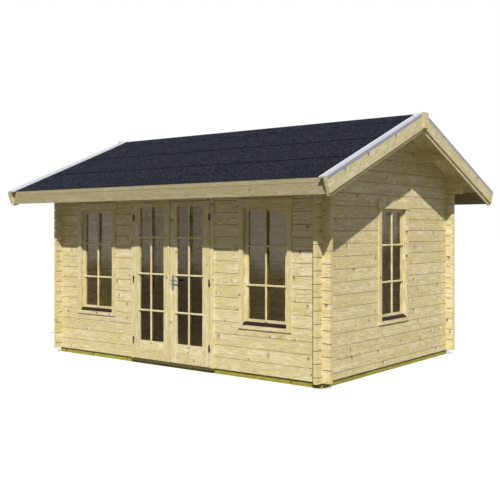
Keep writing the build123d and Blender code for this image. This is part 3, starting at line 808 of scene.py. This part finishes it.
def level_bar(left, right, height, front, back):
    section = bar_section(front, back)
    return run_section([[(across, depth, height - side) for side, depth in section]
                        for across in (left, right)])


def lattice(name, centre, half_width, pane_z, levels, faces, body, turn=False):
    """Bars on the front of the wood and on the back of the glass, whose depths are the faces. turn puts them
    in the right wall instead of the front. Level bars lie a step deeper, so that no two faces coincide."""
    low, high = pane_z
    shapes = []
    for back, out, lap in ((faces[0], -1, OUTER_LAP), (faces[1], 1, INNER_LAP)):
        front = back + out * BAR_DEPTH
        shapes.append(upright_bar(centre, low - lap, high + lap, front, back))
        left, right = centre - half_width - lap, centre + half_width + lap
        shapes += [level_bar(left, right, height, front - out * LEVEL_BAR_STEP, back)
                   for height in levels]
    points, faces = gather(shapes)
    if turn:
        points = [(-depth, across, height) for across, depth, height in points]
    piece = link_mesh(name, points, faces, lattice_wood)
    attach(piece, body)
    print(name, "bars:", len(shapes))


BAR_SPACING = 0.2


def bar_grain(finish):
    x, y, z = finish.place()
    wide = finish.pick(x.above(BESIDE_X), x, y)
    lying = abs(finish.facing()[2]).above(0.3)
    number = (wide / BAR_SPACING).floor() + 660.0
    return finish.pick(lying, z, wide), finish.pick(lying, wide, z), 0.02 + y * 0.01, number


lattice_wood = spruce("spruce_glazing_bars", bar_grain, knot_every=0.6, board=0.05, knot_share=0.06)
WINDOW_LEVELS = (1.028, 1.457)
DOOR_LEVELS = (0.660, 1.102, 1.545)
SASH_SET_BACK = 0.030
PANE_BACK = 0.051
DOOR_PANE_BACK = -1.504
front_faces = (SASH_SET_BACK - LOG_FACE_Y, PANE_BACK - LOG_FACE_Y)
side_faces = (SASH_SET_BACK - LOG_FACE_X, PANE_BACK - LOG_FACE_X)
for name, centre in (("front_left_window", -WINDOW_X), ("front_right_window", WINDOW_X)):
    lattice(name + "_bars", centre, PANE_HALF, PANE_Z, WINDOW_LEVELS, front_faces, "house")
lattice("side_window_bars", SIDE_WINDOW_Y, PANE_HALF, PANE_Z, WINDOW_LEVELS, side_faces, "house", turn=True)
for side, body in ((-1, "left_leaf"), (1, "right_leaf")):
    lattice(f"door_{body}_bars", DOOR_X + side * LEAF_OFFSET, DOOR_PANE_HALF, DOOR_PANE_Z, DOOR_LEVELS,
            (LEAF_FRONT, DOOR_PANE_BACK), body)

# %% [markdown]
# ## Turned pieces
# The hinges and the handle are small turned and bent pieces of metal, so they are drawn as rings of points,
# round an upright axis for a barrel and square to a bent line for a lever. They get soft shading, with sharp
# edges kept where two faces meet at a wide angle.

# %% Helpers for metal pieces
def smooth(piece, angle=35.0):
    """Soft shading over faces that meet at less than an angle."""
    for polygon in piece.data.polygons:
        polygon.use_smooth = True
    piece.data.set_sharp_from_angle(angle=math.radians(angle))


def turned(profile, x, y, count=20):
    """Skin of a profile of (radius, height) pairs that is turned round an upright axis."""
    turns = [math.tau * step / count for step in range(count)]
    return run_section([[(x + radius * math.cos(turn), y + radius * math.sin(turn), height) for turn in turns]
                        for radius, height in profile])


def brick(left, right, front, back, low, high):
    """Skin of a straight block."""
    corners = [(left, front), (right, front), (right, back), (left, back)]
    return run_section([[(x, y, height) for x, y in corners] for height in (low, high)])


# %% [markdown]
# ## Hinges
# A hinge has two barrels on one pin, each on a short neck that is screwed into the wood. The lower barrel
# stays on the jamb and the upper one turns with the leaf, so each half rides on its own body.

# %% Hinges
HINGE_HEIGHTS = (0.285, 1.030, 1.780)
PIN_X = {-1: -0.6475, 1: 0.5875}
PIN_Y = -1.536
BARREL = 0.008
JAMB_FRONT = -1.520
NECK_REACH = (0.0025, 0.0075)
NECK_STARTS = 0.005
NECK_ENDS = 0.033


def barrel(height, end, x):
    """Half of a hinge from its middle to a turned tip. end is 1 for the upper half, -1 for the lower."""
    profile = [(0.0074, 0.0003), (BARREL, 0.0009), (BARREL, 0.0320), (0.0070, 0.0328), (0.0070, 0.0338),
               (BARREL, 0.0346), (0.0072, 0.0375), (0.0045, 0.0400), (0.0022, 0.0412)]
    rings = [(radius, height + end * step) for radius, step in profile]
    return turned(rings if end > 0 else rings[::-1], x, PIN_Y)


def hinges(name, replaced, body, halves):
    """Hinge halves of one body. halves holds pairs of a side of the door and an end."""
    shapes = []
    for side, end in halves:
        pin = PIN_X[side]
        left, right = sorted(pin - end * side * edge for edge in NECK_REACH)
        back = JAMB_FRONT if end < 0 else LEAF_FRONT
        for height in HINGE_HEIGHTS:
            shapes.append(barrel(height, end, pin))
            low, high = sorted((height + end * NECK_STARTS, height + end * NECK_ENDS))
            shapes.append(brick(left, right, PIN_Y, back, low, high))
    piece = link_mesh(name, *gather(shapes), coated.material)
    smooth(piece)
    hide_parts(replaced)
    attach(piece, body)
    print(name, "halves:", len(halves) * len(HINGE_HEIGHTS))


hinges("frame_hinge_halves", "door_frame_hinges", "house", [(-1, -1), (1, -1)])
hinges("left_leaf_hinge_halves", "door_left_hinges", "left_leaf", [(-1, 1)])
hinges("right_leaf_hinge_halves", "door_right_hinges", "right_leaf", [(1, 1)])

# %% [markdown]
# ## Handle
# Each face of the leaf has a rounded upright plate with two screws, a round lever on a small rose, and a key
# cylinder. All of them are flat outlines stacked at growing depths, apart from the lever, which is a bar that
# bends twice: out of the plate to the side, and back towards the leaf at its tip.

# %% Handle
PLATE_HALF_WIDTH = 0.015
PLATE_HALF_HEIGHT = 0.088
PLATE_CORNER = 0.011
PLATE_THICKNESS = 0.008
PLATE_Z = 1.011
LEVER_Z = 1.036
LOCK_Z = 0.966
SCREW_OFFSET = 0.080
LEVER_REACH = 0.041
LEVER_BEND = 0.012
LEVER_MIDDLE = 0.050
LEVER_STRAIGHT_ENDS = 0.088
TIP_BEND = 0.016
LEVER_HALF = (0.0062, 0.0090)
LEVER_TIP_HALF = (0.0045, 0.0068)
TIP_STEP = 0.0018
HANDLE_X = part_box("door_handle")[0].x + PLATE_HALF_WIDTH


def plate_outline(inset, steps=6):
    """Rounded upright plate as (across, up) pairs."""
    bend = PLATE_CORNER - inset
    straight = (PLATE_HALF_WIDTH - PLATE_CORNER, PLATE_HALF_HEIGHT - PLATE_CORNER)
    points = []
    for quarter, (across, up) in enumerate(((1, 1), (-1, 1), (-1, -1), (1, -1))):
        for step in range(steps + 1):
            turn = math.radians(90.0 * (quarter + step / steps))
            points.append((across * straight[0] + bend * math.cos(turn),
                           up * straight[1] + bend * math.sin(turn)))
    return points


def arc(radius, middle, turns):
    """Points round a middle on the plate's upright axis, at the given turns in degrees."""
    return [(radius * math.cos(math.radians(turn)), middle + radius * math.sin(math.radians(turn)))
            for turn in turns]


def lock_outline(inset):
    """Outline of a key cylinder: a round body over a narrower rounded tail."""
    body = arc(0.0085 - inset, 0.0, [-55.0 + step * 290.0 / 14 for step in range(15)])
    tail = arc(0.0045 - inset, -0.0165, [180.0 + step * 30.0 for step in range(7)])
    return body + tail


def circle(radius, count=16):
    return arc(radius, 0.0, [360.0 * step / count for step in range(count)])


def stack(face, out, centre_z, layers):
    """Skin over outlines at growing depths from a face of the leaf. out is -1 outside and 1 inside."""
    return run_section([[(HANDLE_X - out * across, face + out * depth, centre_z + up)
                         for across, up in outline] for outline, depth in layers])


def lever(face, out):
    """Round bar that comes out of the plate, bends to the side and turns back at its tip."""
    turns = [math.radians(15.0 * step) for step in range(1, 7)]
    first_bend = LEVER_REACH - LEVER_BEND
    path = [(0.0, LEVER_BEND), (0.0, first_bend)]
    path += [(LEVER_BEND - LEVER_BEND * math.cos(turn), first_bend + LEVER_BEND * math.sin(turn))
             for turn in turns]
    path += [(LEVER_MIDDLE, LEVER_REACH), (LEVER_STRAIGHT_ENDS, LEVER_REACH)]
    tip_bend = LEVER_REACH - TIP_BEND
    path += [(LEVER_STRAIGHT_ENDS + TIP_BEND * math.sin(turn), tip_bend + TIP_BEND * math.cos(turn))
             for turn in turns[:-1]]
    points = [Vector((HANDLE_X + along, face + out * away)) for along, away in path]
    rings = []
    for index, point in enumerate(points):
        ahead = points[min(index + 1, len(points) - 1)] - points[max(index - 1, 0)]
        ahead.normalize()
        sizes = [LEVER_HALF] if index < len(points) - 1 else [LEVER_HALF, LEVER_TIP_HALF]
        for step, (flat, tall) in enumerate(sizes):
            middle = point + ahead * (TIP_STEP * step)
            rings.append([(middle.x - ahead.y * flat * across, middle.y + ahead.x * flat * across,
                           LEVER_Z + tall * up) for across, up in circle(1.0)])
    return run_section(rings)


def handle():
    """Plates, levers, lock cylinders and screws on both faces of the right leaf."""
    top = PLATE_THICKNESS
    plate = [(plate_outline(0.0), 0.0), (plate_outline(0.0), top - 0.0025),
             (plate_outline(0.0012), top - 0.0007), (plate_outline(0.003), top)]
    rose = [(circle(0.0098), top), (circle(0.0098), top + 0.004), (circle(0.0078), top + 0.006)]
    lock = [(lock_outline(0.0), top), (lock_outline(0.0), top + 0.002), (lock_outline(0.0008), top + 0.0026)]
    screw = [(circle(0.0038, 12), top), (circle(0.0036, 12), top + 0.0008),
             (circle(0.0022, 12), top + 0.0016)]
    shapes = []
    for face, out in ((LEAF_FRONT, -1), (LEAF_BACK, 1)):
        shapes.append(stack(face, out, PLATE_Z, plate))
        shapes.append(stack(face, out, LEVER_Z, rose))
        shapes.append(lever(face, out))
        shapes.append(stack(face, out, LOCK_Z, lock))
        for height in (PLATE_Z + SCREW_OFFSET, PLATE_Z - SCREW_OFFSET):
            shapes.append(stack(face, out, height, screw))
    piece = link_mesh("lever_handle", *gather(shapes), brushed.material)
    smooth(piece)
    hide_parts("door_handle")
    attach(piece, "right_leaf")
    print("handle faces:", len(piece.data.polygons))


handle()

# %% [markdown]
# ## Boards of the roof
# From below, the roof is a ceiling of narrow boards that run from the ridge to the eave, each with bevelled
# edges, so that two of them make a V. One mesh per slope holds the whole run of boards.

# %% Roof boards
BOARD_COUNT = 52
BOARD_BEVEL = 0.0045
BOARD_BEVEL_HEIGHT = 0.006
DECK_THICKNESS = 0.019
deck_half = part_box("roof_deck_front")[1].x
deck_pitch = 2 * deck_half / BOARD_COUNT


def roof_boards(name, node, side):
    """Boards with bevelled lower edges, in the place of the plain slab."""
    low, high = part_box(node)
    thickness = DECK_THICKNESS / math.cos(ROOF_PITCH)
    eave = max(abs(low.y), abs(high.y))
    ridge_low = high.z - thickness
    shapes = []
    for index in range(BOARD_COUNT):
        left, right = -deck_half + index * deck_pitch, -deck_half + (index + 1) * deck_pitch
        section = [(left, BOARD_BEVEL_HEIGHT), (left + BOARD_BEVEL, 0.0), (right - BOARD_BEVEL, 0.0),
                   (right, BOARD_BEVEL_HEIGHT), (right, thickness), (left, thickness)]
        rings = []
        for reach in (0.0, eave):
            height = ridge_low - reach * math.tan(ROOF_PITCH)
            rings.append([(across, side * reach, height + lift) for across, lift in section])
        shapes.append(run_section(rings if side > 0 else rings[::-1]))
    points, faces = gather(shapes)
    piece = link_mesh(name, points, faces, roof_board_wood)
    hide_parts(node)
    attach(piece, "house")
    print(name, "boards:", BOARD_COUNT)


def roof_board_grain(finish):
    x, y, z = finish.place()
    course = x / deck_pitch
    number = course.floor()
    across = (course - number - 0.5) * deck_pitch
    return y / math.cos(ROOF_PITCH), across, 0.02 + z * 0.01, number + y.above(0.0) * 60.0 + 800.0


roof_board_wood = spruce("spruce_roof_boards", roof_board_grain, knot_every=0.4, board=0.096, knot_share=0.5)
roof_boards("roof_boards_front", "roof_deck_front", -1)
roof_boards("roof_boards_back", "roof_deck_back", 1)

# %% [markdown]
# ## The floor
# Floor boards lie along the house on joists that run from front to back. They stop short of the walls. The
# first board is cut out round the door frame: it is full on both sides of it, and narrower behind it.

# %% Floor boards
FLOOR_COUNT = 32
FLOOR_DEPTH = 2.908
FRAME_HALF = 0.671
FRAME_BACK = -1.434
EASED_WIDTH = 0.0025
EASED_HEIGHT = 0.003


def plank(section, left, right):
    return run_section([[(across, depth, height) for depth, height in section] for across in (left, right)])


def floor():
    """Boards with eased top edges, in the place of the plain slab."""
    low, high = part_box("floor_boards")
    pitch = (high.y - low.y) / FLOOR_COUNT
    doorway = (DOOR_X - FRAME_HALF, DOOR_X + FRAME_HALF)
    shapes = []
    for index in range(FLOOR_COUNT):
        front = low.y + index * pitch
        back = front + pitch
        section = [(front, low.z), (back, low.z), (back, high.z - EASED_HEIGHT), (back - EASED_WIDTH, high.z),
                   (front + EASED_WIDTH, high.z), (front, high.z - EASED_HEIGHT)]
        if index > 0:
            shapes.append(plank(section, low.x, high.x))
            continue
        shapes.append(plank(section, low.x, doorway[0]))
        shapes.append(plank(section, doorway[1], high.x))
        narrow = [(max(depth, FRAME_BACK), height) for depth, height in section]
        shapes.append(plank(narrow, *doorway))
    points, faces = gather(shapes)
    piece = link_mesh("floor_planks", points, faces, floor_wood)
    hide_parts("floor_boards")
    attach(piece, "house")
    print("floor boards:", FLOOR_COUNT)


def floor_grain(finish):
    x, y, z = finish.place()
    pitch = FLOOR_DEPTH / FLOOR_COUNT
    course = (y + FLOOR_DEPTH / 2) / pitch
    number = course.floor()
    return x, (course - number - 0.5) * pitch, 0.02 + z * 0.1, number + 900.0


floor_wood = spruce("spruce_floor_boards", floor_grain, knot_every=0.45, board=0.09, knot_share=0.5,
                    gloss=0.6)
floor()
